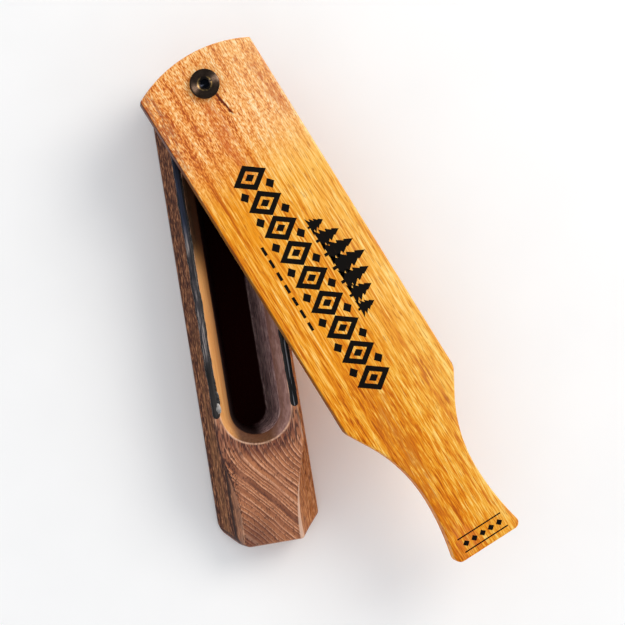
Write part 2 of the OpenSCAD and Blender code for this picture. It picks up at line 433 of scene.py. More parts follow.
def walnut():
    """Dark ring-grown wood of the box: tilted growth layers along X, and long dark pores. p also
    carries the places and noises that its parts share."""
    p = Paint("box_walnut", IOR=1.45)
    p.x, p.y, p.z = p.xyz()
    p.fibre = p.noise((0.03, 1.1, 1.1), rough=0.65)
    p.speck = p.noise((0.3, 1.6, 1.6), rough=0.6)
    p.away = (p.x - CHAMBER_FAR).most(CHAMBER_NEAR - p.x).most(0).hypot(p.y)
    p.cove = (abs(p.y) - COVE_Y).hypot(p.z - COVE_Z) - COVE_R
    inside = p.away.ease(THROAT_HALF + 1.3, THROAT_HALF + 0.7) * p.z.ease(THROAT_Z + 0.5, THROAT_Z - 0.3)
    rings, ridge = growth_rings(p)
    pores = box_pores(p)
    wood = p.mix(p.fibre.ease(0.38, 0.66, 0, 0.38), rings, tone(112, 62, 44))
    wood = shaded_top(p, wood)
    wood = coved_sides(p, wood, rings)
    wood = p.mix(pores, wood, tone(56, 26, 24))
    wood = low_line(p, wood)
    # Painted highlight and bare worn wood along the right edge of the ramp.
    wood = p.mix(arris_share(p), wood, tone(226, 190, 166))
    wood = bevel_colour(p, wood)
    # Painted shade inside the chamber.
    wood = p.mix(inside, wood, chamber_colour(p))
    wood = worn_lit_and_shaded_edges(p, wood)
    relief = p.fibre * 0.5 - pores * 1.2 + ridge * 0.3
    gloss = 0.2 - inside * p.z.ease(FLOOR_TOP + 3, FLOOR_TOP + 0.5) * 0.2
    return p.finish(Base_Color=wood, Roughness=p.fibre.ease(0.3, 0.7, 0.42, 0.62),
                    Normal=p.bump(relief, 0.12, 0.7), Specular_IOR_Level=gloss)


def growth_rings(p):
    """Thin pale lines with a slowly darkening band behind each, on layers that lean across the box.
    Gives their colour, and their height for the bump."""
    lean, spacing = math.radians(27), 1.12
    height = p.xyz(tilt=lean)[2] + p.noise((0.008, 0.045, 0.045), rough=0.45) * 2.6
    uneven = p.noise_along(height, scale=0.5, detail=1) * 1.8
    phase = height.math("FRACT", height / spacing + uneven)
    rings = p.ramp(phase, (0, tone(84, 46, 38)), (0.07, tone(204, 142, 106)), (0.18, tone(236, 178, 142)),
                   (0.3, tone(198, 132, 90)), (0.65, tone(180, 114, 76)), (1, tone(108, 62, 46)))
    plain = p.ramp(p.noise((0.01, 0.2, 0.5)), (0.35, tone(156, 98, 70)), (0.65, tone(200, 134, 98)))
    strength = p.noise((0.01, 0.12, 0.12), shift=(5, 2, 1), detail=1).ease(0.3, 0.5, 0.5, 1)
    return p.mix(strength, plain, rings), phase.ease(0.04, 0.16) - phase.ease(0.16, 0.8)


def box_pores(p):
    """Open pores: a few everywhere, and many on the level top and on the left side by the ramp."""
    pores = p.noise((0.2, 1.7, 1.7), detail=1, rough=0.5)
    top = p.x.ease(164, 170, 1, 0) * p.z.ease(36.2, 38.5)
    left = p.z.ease(15, 17) * p.y.ease(-12, -13.5) * p.x.ease(*BY_RAMP_X)
    few, many = pores.ease(0.6, 0.68) * 0.6, pores.ease(0.5, 0.58) * 0.8
    return few.most(many * top.most(left))


def shaded_top(p, wood):
    """Painted shade round the chamber's far end and towards the rounded foot of the ramp."""
    # Painted shade round the chamber's far end.
    rim = p.away.ease(MOUTH_HALF + 9, MOUTH_HALF + 2) * p.x.ease(RAMP_START - 6, RAMP_START + 4)
    wood = p.mix(rim * 0.62, wood, tone(96, 42, 32))
    # Painted shade on the rounded foot of the ramp, most on its left.
    foot = p.x.ease(190, 207, 0, 0.65) * p.y.ease(6, -8, 0.15, 1)
    return p.mix(foot, wood, tone(84, 44, 40))


def side_share(p, side):
    """1 on the coved side of the box that faces one way, and on the land beside its lip."""
    share = abs(p.y).ease(18.4, 19.2).most(p.cove.ease(1, 0.4))
    from_cut = BOX_HALF + FOOT_HALF - CORNER_CUT - (abs(p.x - BOX_MIDDLE) + abs(p.y))
    return share * (from_cut * math.sqrt(0.5)).ease(0.3, 0.8) * (p.y * side).ease(8, 9)


def coved_sides(p, wood, rings):
    """The hollowed sides in painted shade and light: dark and speckled on the left, with a tan line low
    down and a paler, painted-light patch by the ramp, and a lit orange-brown on the right."""
    left, right = side_share(p, LEFT), side_share(p, RIGHT)
    # Painted shade: the left side, which faces away from the light, darkened and speckled.
    dark = p.ramp(p.speck, (0.36, tone(50, 27, 22)), (0.48, tone(86, 49, 35)),
                  (0.58, tone(138, 88, 60)), (0.68, tone(190, 134, 94)))
    wood = p.mix(left, wood, dark)
    line = p.z.band(8.5, 0.7, 1.5) * left * p.x.ease(90, 170, 0.1, 0.5)
    wood = p.mix(line * p.fibre.ease(0.4, 0.6), wood, tone(170, 118, 76))
    # Painted light: the right side, which faces the light, in a lit orange-brown.
    orange = p.ramp(p.speck, (0.36, tone(120, 62, 24)), (0.5, tone(176, 104, 50)),
                    (0.64, tone(212, 152, 96)))
    wood = p.mix(right * 0.8, wood, orange)
    # Painted light: a paler patch by the ramp against the shade of the steep face, with the growth rings
    # showing through.
    patch = left * (p.z.ease(14, 16) * p.z.ease(36, 34)) * p.x.ease(*BY_RAMP_X)
    return p.mix(patch * 0.85, wood, p.mix(0.5, rings, tone(166, 114, 84)))


def low_line(p, wood):
    """A thin broken dark line low on the left side, which grows stronger towards the ramp."""
    line = p.z.band(13, 0.4, 0.7) * p.y.ease(-13, -14.5) * p.x.ease(120, 160)
    return p.mix(line * p.speck.ease(0.4, 0.55, 0.5, 1) * 0.9, wood, tone(30, 18, 20))


def arris_share(p):
    """Share of painted highlight and bare worn wood along the right edge of the ramp, which widens
    towards the end.
    """
    width = p.x.ease(182, 207, 0.25, 1.5, "LINEAR")
    # The pale share: a painted highlight together with bare worn wood.
    worn = (p.cove - width).ease(0.5, -0.1, 0, 0.75)
    below = RAMP_FOOT_Z - (p.z + (p.x - RAMP_FOOT_X) * math.tan(RAMP_SLOPE))
    return worn * below.ease(1.8, 0.8) * p.y.ease(8, 9) * p.x.ease(176, 186)


def bevel_colour(p, wood):
    """The mouth's bevel in painted light and shade: lit tan on the left, shaded brown at the far end and
    shaded mauve on the right.
    """
    bevel = p.away.ease(MOUTH_HALF + 0.15, MOUTH_HALF - 0.2) * p.z.ease(THROAT_Z - 0.9, THROAT_Z + 0.3)
    # Painted light: tan on the left bevel, which faces the light.
    lit_tan = p.mix(p.fibre, tone(204, 118, 52), tone(255, 196, 118))
    # Painted shadow of the lid over the near part of the left bevel.
    tan = p.mix(p.x.ease(66, 88), tone(54, 38, 24), lit_tan)
    # Painted shade: brown on the far end of the bevel.
    brown = p.mix(p.fibre, tone(58, 32, 18), tone(128, 82, 48))
    # Painted shade: mauve on the right bevel, which faces away from the light, with blotches of uneven
    # tone.
    mauve = p.mix(p.fibre, tone(132, 92, 84), tone(188, 150, 142))
    blotch = p.noise((0.25, 0.6, 0.6), detail=2).ease(0.4, 0.6, 0, 0.5)
    mauve = p.mix(blotch, mauve, tone(104, 68, 62))
    colour = p.mix(p.y.ease(-13.5, -8), tan, brown)
    colour = p.mix(p.y.ease(4, 11), colour, mauve)
    # Painted shade, darker down towards the chamber.
    colour = p.mix(p.away.ease(MOUTH_HALF - 1, MOUTH_HALF - 4.4, 0, 0.5), colour, tone(84, 46, 28))
    return p.mix(bevel * 0.92, wood, colour)


def chamber_colour(p):
    """Painted shade in the chamber: floor and left wall nearly black, right wall a shaded mauve-brown
    with marks of the cutter.
    """
    chatter = p.noise((0.22, 0.6, 0.5), detail=4, rough=0.7, warp=0.6)
    marks = p.noise((0.02, 0.02, 0.9), rough=0.6) * 0.4 + chatter * 0.6
    wall = p.ramp(marks, (0.4, tone(84, 60, 64)), (0.5, tone(148, 114, 114)), (0.6, tone(210, 176, 168)))
    right = p.z.ease(FLOOR_TOP + 0.4, FLOOR_TOP + 1.6) * p.y.ease(-1, 5)
    # Nearly black: painted shade on the deep floor and the left wall.
    return p.mix(right, tone(30, 6, 5), wall)


def worn_lit_and_shaded_edges(p, wood):
    """Pale edges of wear and painted highlight, in patches except by the ramp, and painted shade on the
    edge to the left of the ramp.
    """
    patches = p.noise(scale=0.12, detail=2).ease(0.35, 0.6, 0.35, 1)
    patches = patches.most(p.x.ease(RAMP_START - 4, RAMP_START + 4))
    # Painted shade on the edge left of the ramp, which faces away from the light.
    dark = p.y.ease(-14, -15.5) * p.x.ease(RAMP_START - 8, RAMP_START)
    # Pale edges: part wear, part painted highlight.
    rubbed_and_highlit = p.edge_wear_and_highlight().ease(0.35, 0.95, 0, 0.75) * p.fibre.ease(0.3, 0.6, 0.5, 1)
    wood = p.mix(rubbed_and_highlit * patches * p.z.ease(16, 22) * (1 - dark), wood, tone(240, 190, 158))
    return p.mix(dark * p.cove.band(0.75, 0.2, 0.35) * 0.8, wood, tone(44, 24, 28))


def lid_wood():
    """Golden wood of the lid: short red-brown flecks round the screw, long streaks further on."""
    p = Paint("lid_golden_wood", IOR=1.45, Specular_IOR_Level=0.08)
    p.u, p.v, p.z = p.xyz(turn=-SWING)
    near, far = p.u.ease(22, 60, 1, 0), p.u.ease(128, 158)
    grain = lid_grain(p, near, far) + p.v.ease(-14, 24, -0.012, 0.03, "LINEAR")
    wood = lid_patches(p, lid_colour(p, grain, near, far))
    pores = p.noise((0.16, 2, 2), -SWING, detail=1).ease(0.58, 0.68, 0, 0.6)
    wood = p.mix(pores, wood, p.mix(near, tone(176, 84, 8), tone(186, 92, 50)))
    wood = p.mix(lid_check(p), wood, tone(104, 34, 8))
    # Painted shade on the lid's left side, which faces away from the light, most at the front.
    left_side_shade = p.v.ease(1 - LID_HALF, 0.2 - LID_HALF) * p.z.ease(53, 52.7)
    wood = p.mix(left_side_shade * p.u.ease(20, 60, 0.92, 0.65), wood, tone(84, 44, 36))
    # Pale edges: wear and a painted highlight, strongest on the right side and towards the shoulder,
    # where the light falls.
    worn = p.edge_wear_and_highlight().ease(0.4, 1, 0, 0.7) * p.v.ease(-8, 14, 0.05, 1) * p.u.ease(90, 150, 0.4, 1)
    wood = p.mix(worn, wood, tone(255, 232, 156))
    normal = p.bump(grain - pores * 0.4, 0.08, 0.5)
    return p.finish(Base_Color=wood, Roughness=grain.ease(0.35, 0.65, 0.5, 0.36), Normal=normal)


def lid_grain(p, near, far):
    """Grain from 0 to 1: flecks near the screw, streaks in the middle, and curls at the shoulder."""
    broad = p.noise((0.014, 0.3, 0.3), -SWING, rough=0.6, warp=0.1)
    streaks = p.noise((0.065, 1.3, 1.3), -SWING, rough=0.65, warp=0.15)
    flecks = p.noise((0.6, 1.9, 1.9), -SWING, detail=2, rough=0.5, warp=0.2)
    curls = p.noise((0.12, 1.35, 1.35), -SWING, rough=0.6, warp=0.4)
    return broad * 0.36 + streaks.toward(flecks, near).toward(curls, far) * 0.64


def lid_colour(p, grain, near, far):
    """Colours of the grain: peach by the screw, gold in the middle and amber at the shoulder."""

    def colours(*tones):
        return p.ramp(grain, *zip((0.36, 0.44, 0.5, 0.56, 0.66), tones))

    gold = colours(tone(184, 88, 0), tone(220, 128, 8), tone(236, 158, 36), tone(248, 186, 84),
                   tone(255, 222, 142))
    peach = colours(tone(170, 76, 28), tone(222, 126, 48), tone(240, 164, 84), tone(250, 194, 124),
                    tone(255, 228, 180))
    amber = colours(tone(164, 72, 0), tone(214, 118, 6), tone(230, 148, 26), tone(242, 178, 66),
                    tone(252, 214, 124))
    pale = p.mix(near, tone(250, 206, 120), tone(255, 216, 160))
    return p.mix(p.v.ease(0, 24, 0, 0.16), p.mix(near, p.mix(far, gold, amber), peach), pale)


def lid_patches(p, wood):
    """Ovals where the lid is redder or darker: by the screw, along its left edge, and at the shoulder."""
    mottle = p.noise((0.2, 0.8, 0.8), -SWING, (3, 7, 0)).ease(0.36, 0.6)

    def patch(wood, colour, most, middle, half):
        u, v = (p.u - middle[0]) / half[0], (p.v - middle[1]) / half[1]
        return p.mix((u * u + v * v).ease(0.1, 1, most, 0) * mottle, wood, colour)

    wood = patch(wood, tone(200, 92, 40), 0.6, middle=(25, -4), half=(26, 5))
    wood = patch(wood, tone(150, 66, 44), 0.75, middle=(4, -27), half=(32, 6))
    wood = patch(wood, tone(196, 104, 60), 0.55, middle=(14, 26), half=(22, 6))
    wood = patch(wood, tone(198, 104, 10), 0.6, middle=(172, -7), half=(30, 9))
    wood = patch(wood, tone(190, 100, 20), 0.6, middle=(200, -12), half=(46, 8))
    wood = patch(wood, tone(240, 150, 10), 0.5, middle=(95, -15), half=(60, 7))
    return patch(wood, tone(214, 120, 60), 0.4, middle=(238, -8), half=(14, 8))


def lid_check(p):
    """A short dark check in the wood, running away from the screw."""
    ragged = p.noise((0.5, 0.5, 0.5), detail=2)
    middle = p.u.ease(6, 18, 1.6, 3.7, "LINEAR") + ragged * 0.8
    width = p.u.ease(6, 17, 0.85, 0.45, "LINEAR") * ragged.ease(0.3, 0.7, 1.3, 0.6)
    return (abs(p.v - middle) / width).ease(0.5, 1.5, 1, 0) * p.u.band(11.5, 5.2, 2)


def rail_black():
    """Dark composite. The left rail has a painted blue sheen near the pivot, then scuffs with a painted
    silver highlight, then charcoal; the right one is black with a thin painted highlight line."""
    p = Paint("rail_slate_composite", IOR=1.5)
    x, y, _ = p.xyz()
    scuff_and_sheen = p.noise((0.08, 1.1, 1.1), detail=4, rough=0.6)
    # Painted sheen: blue near the pivot.
    blue = p.ramp(scuff_and_sheen, (0.35, tone(14, 18, 30)), (0.65, tone(42, 50, 72)))
    # Scuffs and a painted highlight: silver.
    silver = p.ramp(scuff_and_sheen, (0.38, tone(28, 27, 32)), (0.5, tone(60, 56, 60)), (0.62, tone(160, 150, 146)))
    charcoal = p.ramp(scuff_and_sheen, (0.35, tone(7, 7, 8)), (0.65, tone(34, 31, 32)))
    left_colour = p.mix(x.ease(116, 130), p.mix(x.ease(58, 76), blue, silver), charcoal)
    left_colour = p.mix(abs(y).ease(17.5, 17.2, 0, 0.7), left_colour, tone(16, 15, 18))
    # Painted highlight: a thin bright line on the right rail.
    bright = y.band(RAIL_Y - 0.2, 0.12, 0.25) * scuff_and_sheen.ease(0.46, 0.54)
    right_colour = p.mix(bright, tone(12, 12, 14), tone(116, 118, 124))
    left = y.ease(1, -1)
    colour = p.mix(left, right_colour, left_colour)
    rough, gloss = scuff_and_sheen.ease(0.3, 0.7, 0.3, 0.5), left.ease(0, 1, 0.14, 0.17)
    return p.finish(Base_Color=colour, Roughness=rough, Specular_IOR_Level=gloss,
                    Normal=p.bump(scuff_and_sheen, 0.08, 0.5))


def cured_glue(name, gloss, scale, rough, *stops):
    """Lumpy glue with an uneven gloss. rough is its least and most, and stops are its colours."""
    p = Paint(name, IOR=1.5, Specular_IOR_Level=gloss)
    lumps = p.noise(scale=scale)
    return p.finish(Base_Color=p.ramp(lumps, *stops), Roughness=lumps.ease(0.3, 0.7, *rough),
                    Normal=p.bump(lumps, 0.15, 0.6))


def metal(name, dark, light, rough_low, rough_high):
    """Metal with fine rings from turning, and faint stains."""
    p = Paint(name, Metallic=1)
    x, y, _ = p.xyz()
    rings = p.noise_along(x.hypot(y) * 3)
    value = rings * 0.6 + p.noise(scale=0.5) * 0.4
    colour = p.ramp(value, (0.35, dark), (0.65, light))
    rough = value.ease(0.35, 0.65, rough_low, rough_high)
    return p.finish(Base_Color=colour, Roughness=rough, Normal=p.bump(rings, 0.02, 0.5))


def screw_metal():
    """Blackened bronze, brushed in rings, with a worn rim round the dish and a dark socket."""
    p = Paint("blackened_bronze", Metallic=1, Anisotropic=1, Anisotropic_Rotation=0.25)
    tangent = p.node("ShaderNodeTangent", 0, direction_type="RADIAL", axis="Z")
    x, y, z = p.xyz()
    radius = x.hypot(y)
    rings, stain = p.noise_along(radius * 4), p.noise(scale=0.5)
    value = rings * 0.6 + stain * 0.4
    colour = p.ramp(value, (0.35, tone(24, 19, 16)), (0.65, tone(66, 54, 46)))
    colour = p.mix(radius.ease(3.3, 2.9), colour, tone(30, 26, 25))
    rim = radius.band(3.1, 0.2, 0.2) * stain.ease(0.42, 0.54)
    colour = p.mix(rim, colour, tone(116, 96, 62))
    colour = p.mix(z.ease(55.4, 55), colour, tone(16, 18, 24))
    rough = value.ease(0.35, 0.65, 0.38, 0.44) + rim * 0.15
    return p.finish(Base_Color=colour, Roughness=rough, Normal=p.bump(rings, 0.02, 0.6), Tangent=tangent)


def print_ink():
    """Black ink that lets a little of the lid's grain through."""
    p = Paint("black_pad_print", IOR=1.45, Specular_IOR_Level=0.04)
    grain = p.noise((0.1, 2, 2), -SWING, detail=4, rough=0.6)
    colour = p.ramp(grain, (0.35, tone(2, 1, 1)), (0.64, tone(10, 7, 5)), (0.75, tone(52, 32, 14)))
    rough = grain.ease(0.3, 0.7, 0.55, 0.75)
    return p.finish(Base_Color=colour, Roughness=rough, Normal=p.bump(grain, 0.04, 0.5))


def floor_paint():
    p = Paint("pale_floor", Roughness=0.9, Specular_IOR_Level=0.1)
    mottle = p.noise(scale=0.02, detail=2)
    return p.finish(Base_Color=p.ramp(mottle, (0.3, (0.93, 0.93, 0.93, 1)), (0.7, (0.95, 0.95, 0.95, 1))))


# ---- Wooden pieces


def box_top(x, z):
    """Distance above the level lips, the curve, the ramp, and the lowered seat at the pivot."""
    ramp = (z - RAMP_FOOT_Z) * math.cos(RAMP_SLOPE) + (x - RAMP_FOOT_X) * math.sin(RAMP_SLOPE)
    curve = np.hypot(x - RAMP_START, z - BOX_TOP + RAMP_R) - RAMP_R
    far = np.where(x > RAMP_FOOT_X, ramp, curve)
    slope = math.atan2(BOX_TOP - SEAT_TOP, SEAT_RISE)
    rise = (z - SEAT_TOP) * math.cos(slope) - (x - SEAT_END) * math.sin(slope)
    near = round_max(z - BOX_TOP, round_min(z - SEAT_TOP, rise, 0.3), 0.3)
    return np.where(x > RAMP_START, far, np.where(x < CHAMBER_NEAR, near, z - BOX_TOP))


def chamber_space(x, y, z):
    """Distance outside the sound chamber: a leaning wall with a filleted floor, and a bevelled mouth."""
    away = np.hypot(np.maximum(np.maximum(CHAMBER_NEAR - x, x - CHAMBER_FAR), 0), y)
    lean = math.atan2(THROAT_HALF - FLOOR_HALF, THROAT_Z - FLOOR_TOP)
    wall = (away - FLOOR_HALF) * math.cos(lean) - (z - FLOOR_TOP) * math.sin(lean)
    well = round_max(wall, FLOOR_TOP - z, FLOOR_FILLET)
    bevel = (away - THROAT_HALF - (z - THROAT_Z)) / math.sqrt(2)
    return round_min(well, bevel, 0.7)


def rail_bed(x, y, z):
    """Distance outside the bed of a rail, which is open towards the side of the box."""
    near, far = rail_low.x + RAIL_HALF, rail_high.x - RAIL_HALF
    past = np.maximum(near - x, x - far)
    under_rail = np.hypot(np.maximum(past, 0), y - RAIL_Y) - RAIL_HALF
    outwards = np.maximum(RAIL_Y - y, past)
    return np.maximum(np.minimum(under_rail, outwards), rail_low.z - GLUE_THICK - z)


def pivot_holes(x, y, z):
    """Distance outside the stepped hole for the spring, the insert and the screw's tip."""
    away = np.hypot(x, y)
    pocket = np.maximum(away - POCKET_R, insert_high.z - 1 - z)
    socket = np.maximum(away - insert_high.x + 0.6, insert_low.z - z)
    shaft = np.maximum(away - SHAFT_R, screw_low.z - 1 - z)
    return np.minimum.reduce([pocket, socket, shaft])


def box_surfaces(points):
    """Distances outside each surface of the sound box."""
    x, y, z = points[..., 0], np.abs(points[..., 1]), points[..., 2]
    along = np.abs(x - BOX_MIDDLE)
    return [
        y - FOOT_HALF,
        COVE_R - np.hypot(y - COVE_Y, z - COVE_Z),
        (y + z - LIP_EDGE - BOX_TOP + LIP_EASE) / math.sqrt(2),
        along - BOX_HALF,
        (along + y - BOX_HALF - FOOT_HALF + CORNER_CUT) / math.sqrt(2),
        -z,
        box_top(x, z),
        -chamber_space(x, y, z),
        -rail_bed(x, y, z),
        -pivot_holes(x, y, z),
    ]


def box_shape(points):
    """The sound box as one distance, with every edge eased, and more so left of the ramp."""
    foot, cove, lip, end, corner, base, top, chamber, bed, holes = box_surfaces(points)
    side = round_max(round_max(foot, cove, 0.8), lip, 0.5)
    worn = np.where((points[..., 0] > RAMP_START) & (points[..., 1] < 0), 2.6, 0.7)
    plan = round_max(round_max(side, corner, worn), end, worn)
    body = round_max(round_max(plan, base, 0.8), top, 0.7)
    body = round_max(body, chamber, 0.35)
    return np.maximum(np.maximum(body, bed), holes)


def make_box(material):
    """The sound box, on a grid that is finer at its ends, lips and edges."""
    along = grid_line((-12.8, 0.9), (-6, 0.6), (6, 0.9), (46, 2.2), (142, 1.0), (170, 1.1), (198, 0.8),
                      (211.4, 1))
    across = mirrored((0, 0.8), (11, 0.55), (16, 0.4), (21, 0.55), (24.5, 1))
    upwards = grid_line((-0.8, 0.5), (8, 0.85), (33, 0.55), (38, 0.35), (40.6, 1))
    points, faces = skin(box_shape, [along, across, upwards])
    piece = make_piece("sound_box_body", points, faces)
    mark_edges(piece, box_surfaces(points)[:8])
    settle(piece, "box", "box_wood", material, "sound_box")


def lid_surfaces(points):
    """Distances outside each surface of the lid, in the lid's own frame."""
    u, v, z = points[..., 0], np.abs(points[..., 1]), points[..., 2]
    shoulder = (u - SHOULDER_X) * math.sin(SHOULDER_SLOPE) + (v - LID_HALF) * math.cos(SHOULDER_SLOPE)
    grip = GRIP_R - np.hypot(u - GRIP_X, v - GRIP_HALF - GRIP_R)
    flare = FLARE_R - np.hypot(u - GRIP_X, v - GRIP_HALF - FLARE_R)
    front = np.hypot(u - FRONT_R + LID_FRONT, v) - FRONT_R
    return [
        np.where(u < FRONT_R - LID_FRONT, front, -FRONT_R),
        v - LID_HALF,
        np.where(u < GRIP_START, shoulder, np.where(u < GRIP_X, grip, flare)),
        u - LID_REACH,
        z - LID_TOP,
        np.hypot(v, z - LID_LOW - CROWN_R) - CROWN_R,
        LID_BORE_R - np.hypot(u, v),
    ]


def lid_shape(points):
    """The lid as one distance: crowned below, flat on top, with eased edges."""
    front, side, neck, end, top, crown, bore = lid_surfaces(points)
    plan = round_max(round_max(side, neck, SHOULDER_EASE), end, 4.0)
    plan = round_max(plan, front, 0.45)
    body = round_max(round_max(plan, top, 0.9), crown, 0.8)
    return round_max(body, bore, 0.25)


def make_lid(material):
    """The lid, on a grid that is finer at its front, bore, handle and edges."""
    along = grid_line((-15.8, 0.5), (6.5, 0.9), (12, 2.4), (160, 0.8), (244.5, 1))
    across = mirrored((0, 0.55), (5, 0.9), (12, 0.6), (16.5, 0.7), (27.6, 0.35), (29.5, 1))
    upwards = grid_line((40, 0.45), (44.2, 0.8), (51.6, 0.35), (53.5, 1))
    points, faces = skin(lid_shape, [along, across, upwards])
    piece = make_piece("paddle_lid_board", turned_about_z(points, SWING), faces)
    mark_edges(piece, lid_surfaces(points)[:6])
    settle(piece, "lid", "lid_wood", material, "paddle_lid")


# ---- Rails and glue


def strip(x_low, x_high, middle, half, swell, steps):
    """Outline of a strip with round ends, as two sides from near to far. swell gives how far side 0
    or 1 stands out along X."""
    ends = np.linspace(0, math.pi / 2, 10)
    near = x_low + half * (1 - np.cos(ends))
    far = x_high - half * (1 - np.cos(ends[::-1]))
    xs = np.concatenate([near, np.linspace(near[-1], far[0], steps)[1:-1], far])
    width = np.concatenate([half * np.sin(ends), np.full(steps - 2, half), half * np.sin(ends[::-1])])
    sides = []
    for number, side in enumerate((-1, 1)):
        reach = width * (1 + swell(xs, number) / half)
        sides.append(np.stack([xs, middle + side * reach], 1))
    return sides


def slab(name, sides, layers, crest):
    """A closed strip from its outline: each layer is (share of width, height), and crest lifts all
    but the lowest along X."""
    middle = (sides[0] + sides[1]) / 2
    points, rows = [], []
    for share, height in layers:
        row = []
        for side in sides:
            place = middle + (side - middle) * share
            lift = crest(place[:, 0]) if height > layers[0][1] else 0
            first = len(points)
            points.extend(np.column_stack([place, np.full(len(place), height) + lift]))
            row.append(range(first, first + len(place)))
        rows.append(row)
    faces = []
    count = len(sides[0])
    for low, high in zip(rows, rows[1:]):
        for a, b, order in ((low[0], high[0], 1), (low[1], high[1], -1)):
            faces += [(a[i], a[i + 1], b[i + 1], b[i])[::order] for i in range(count - 1)]
    for (a, b), order in ((rows[0], 1), (rows[-1], -1)):
        faces += [(a[i], b[i], b[i + 1], a[i + 1])[::order] for i in range(count - 1)]
    piece = make_piece(name, points, faces)
    close_ends(piece)
    return piece


def close_ends(piece):
    """Joins the points that meet at the tips of a slab, and turns every face outwards."""
    merge = bmesh.new()
    merge.from_mesh(piece.data)
    bmesh.ops.remove_doubles(merge, verts=merge.verts, dist=0.002 * MM)
    bmesh.ops.recalc_face_normals(merge, faces=merge.faces)
    merge.to_mesh(piece.data)
    merge.free()


def round_layers(low, high, edge, half):
    """Layers of a strip with its top edges rounded."""
    layers = [(1.0, low)]
    for turn in np.linspace(0, math.pi / 2, 5):
        layers.append((1 - edge * (1 - math.cos(turn)) / half, high - edge * (1 - math.sin(turn))))
    return layers


def make_rail(side, material):
    """A rail, with sides and a top that aren't quite straight."""

    def swell(x, number):
        return ripple(x, 40 + number + side, ((23, 0.03), (9.1, 0.03), (4.3, 0.02)))

    def crest(x):
        return ripple(x, 7 + side, ((31, 0.03), (11, 0.02))) - 0.05

    sides = strip(rail_low.x, rail_high.x, side * RAIL_Y, RAIL_HALF, swell, 240)
    layers = round_layers(rail_low.z, rail_high.z, 0.45, RAIL_HALF)
    piece = slab(side_name(side) + "_rail_strip", sides, layers, crest)
    settle(piece, "box", "rail", material, side_name(side) + "_friction_rail")


def make_glue(side, material):
    """Glue under a rail, squeezed out along both edges in a ragged bead."""

    def swell(x, number):
        bead = ripple(x, 60 + number + 3 * side, ((34, 0.16), (13, 0.12), (4.4, 0.05)))
        return np.maximum(bead, -0.15)

    def crest(x):
        return ripple(x, 21 + side, ((13, 0.03), (3.7, 0.03)))

    half, middle = RAIL_HALF + GLUE_SPILL, side * (RAIL_Y - 0.2)
    sides = strip(rail_low.x - 0.3, rail_high.x + 0.3, middle, half, swell, 320)
    layers = round_layers(rail_low.z - GLUE_THICK, BOX_TOP + 0.08, 0.3, half)
    piece = slab(side_name(side) + "_rail_glue_bead", sides, layers, crest)
    settle(piece, "box", "glue", material, side_name(side) + "_rail_glue")


def lump(name, centre, size, seed, material, slot):
    """A small irregular dome of cured glue."""
    rings, segments = 14, 40
    turn = np.arange(segments) * TAU / segments
    wobble = 1 + 0.1 * ripple(turn, seed, ((TAU, 1), (TAU / 2, 0.8), (TAU / 3, 0.6), (TAU / 5, 0.4)))
    rows = [(math.sin(t) * wobble, math.cos(t)) for t in np.linspace(0, math.pi / 2, rings)[1:]]
    points, faces = spun(rows + [(rows[-1][0], -1.0)], segments)
    points = np.array(points) * np.array(size) + np.array(centre)
    piece = make_piece(name, points, faces)
    settle(piece, "box", slot, material)


def make_lumps(black, grey):
    """Lumps where the glue ran at the far end of the left rail and beside the right one."""
    sunk = BOX_TOP - 0.1
    lump("left_rail_black_lump", (140.0, 0.9 - RAIL_Y, sunk), (3.6, 1.9, 0.3), 3, black, "glue")
    lump("left_rail_grey_lump", (145.0, 1.0 - RAIL_Y, BOX_TOP), (3.1, 1.5, 0.3), 5, grey, "rail")
    lump("right_rail_black_lump", (117.2, RAIL_Y - 0.7, sunk), (5.2, 1.5, 0.26), 8, black, "glue")


# ---- Pivot hardware


def hexagon(across, segments):
    """Radius of a hexagon at each angle."""
    angle = np.arange(segments) * TAU / segments
    return across / 2 / np.cos(angle % (TAU / 6) - TAU / 12)


def thread(radius, depth, pitch, low, high, segments, rows_per_turn=10):
    """Rows of a screw thread from high down to low."""
    turn = np.arange(segments) / segments
    rows = []
    for z in np.linspace(high, low, round((high - low) / pitch * rows_per_turn) + 1):
        phase = (z / pitch - turn) % 1
        ridge = np.abs(2 * phase - 1)
        fade = min(1, (high - z) / pitch, (z - low) / pitch)
        rows.append((radius - depth * fade * np.clip(ridge * 1.25 - 0.1, 0, 1), z))
    return rows


def make_screw(material):
    """The screw, in rows from the bottom of its socket, over the head and down the thread."""
    segments, hex_across, thread_top = 96, 4.0, 35.0
    head_low, head_r = LID_TOP + WASHER_THICK, screw_high.x
    top = screw_high.z
    dish, socket = top - 0.4, top - 2.1
    hex_wall = hexagon(hex_across, segments)
    rows = [(0.9, socket - 0.5), (1.8, socket)]
    rows += [(hex_wall, socket), (hex_wall, dish - 0.15), (hex_wall + 0.12, dish)]
    rows += [(2.75, dish), (2.95, dish + 0.06), (3.55, top - 0.08), (3.75, top)]
    rows += [(r, top) for r in (4.2, 5.0, 5.8, head_r - 0.75)]
    rows += [(head_r - 0.6, top - 0.03), (head_r - 0.12, top - 0.42), (head_r, top - 0.62)]
    rows += [(head_r, head_low + 0.35), (head_r - 0.1, head_low + 0.1), (head_r - 0.35, head_low)]
    rows += [(SHANK_R + 0.3, head_low), (SHANK_R, head_low - 0.3), (SHANK_R, thread_top + 1)]
    rows += thread(SHANK_R, 0.45, 1.0, screw_low.z + 1, thread_top, segments)
    rows += [(SHANK_R - 1, screw_low.z)]
    points, faces = spun(rows, segments)
    piece = make_piece("pivot_screw_turned", points, faces)
    sharpen(piece, 32)
    settle(piece, "screw", "screw", material, "pivot_screw")


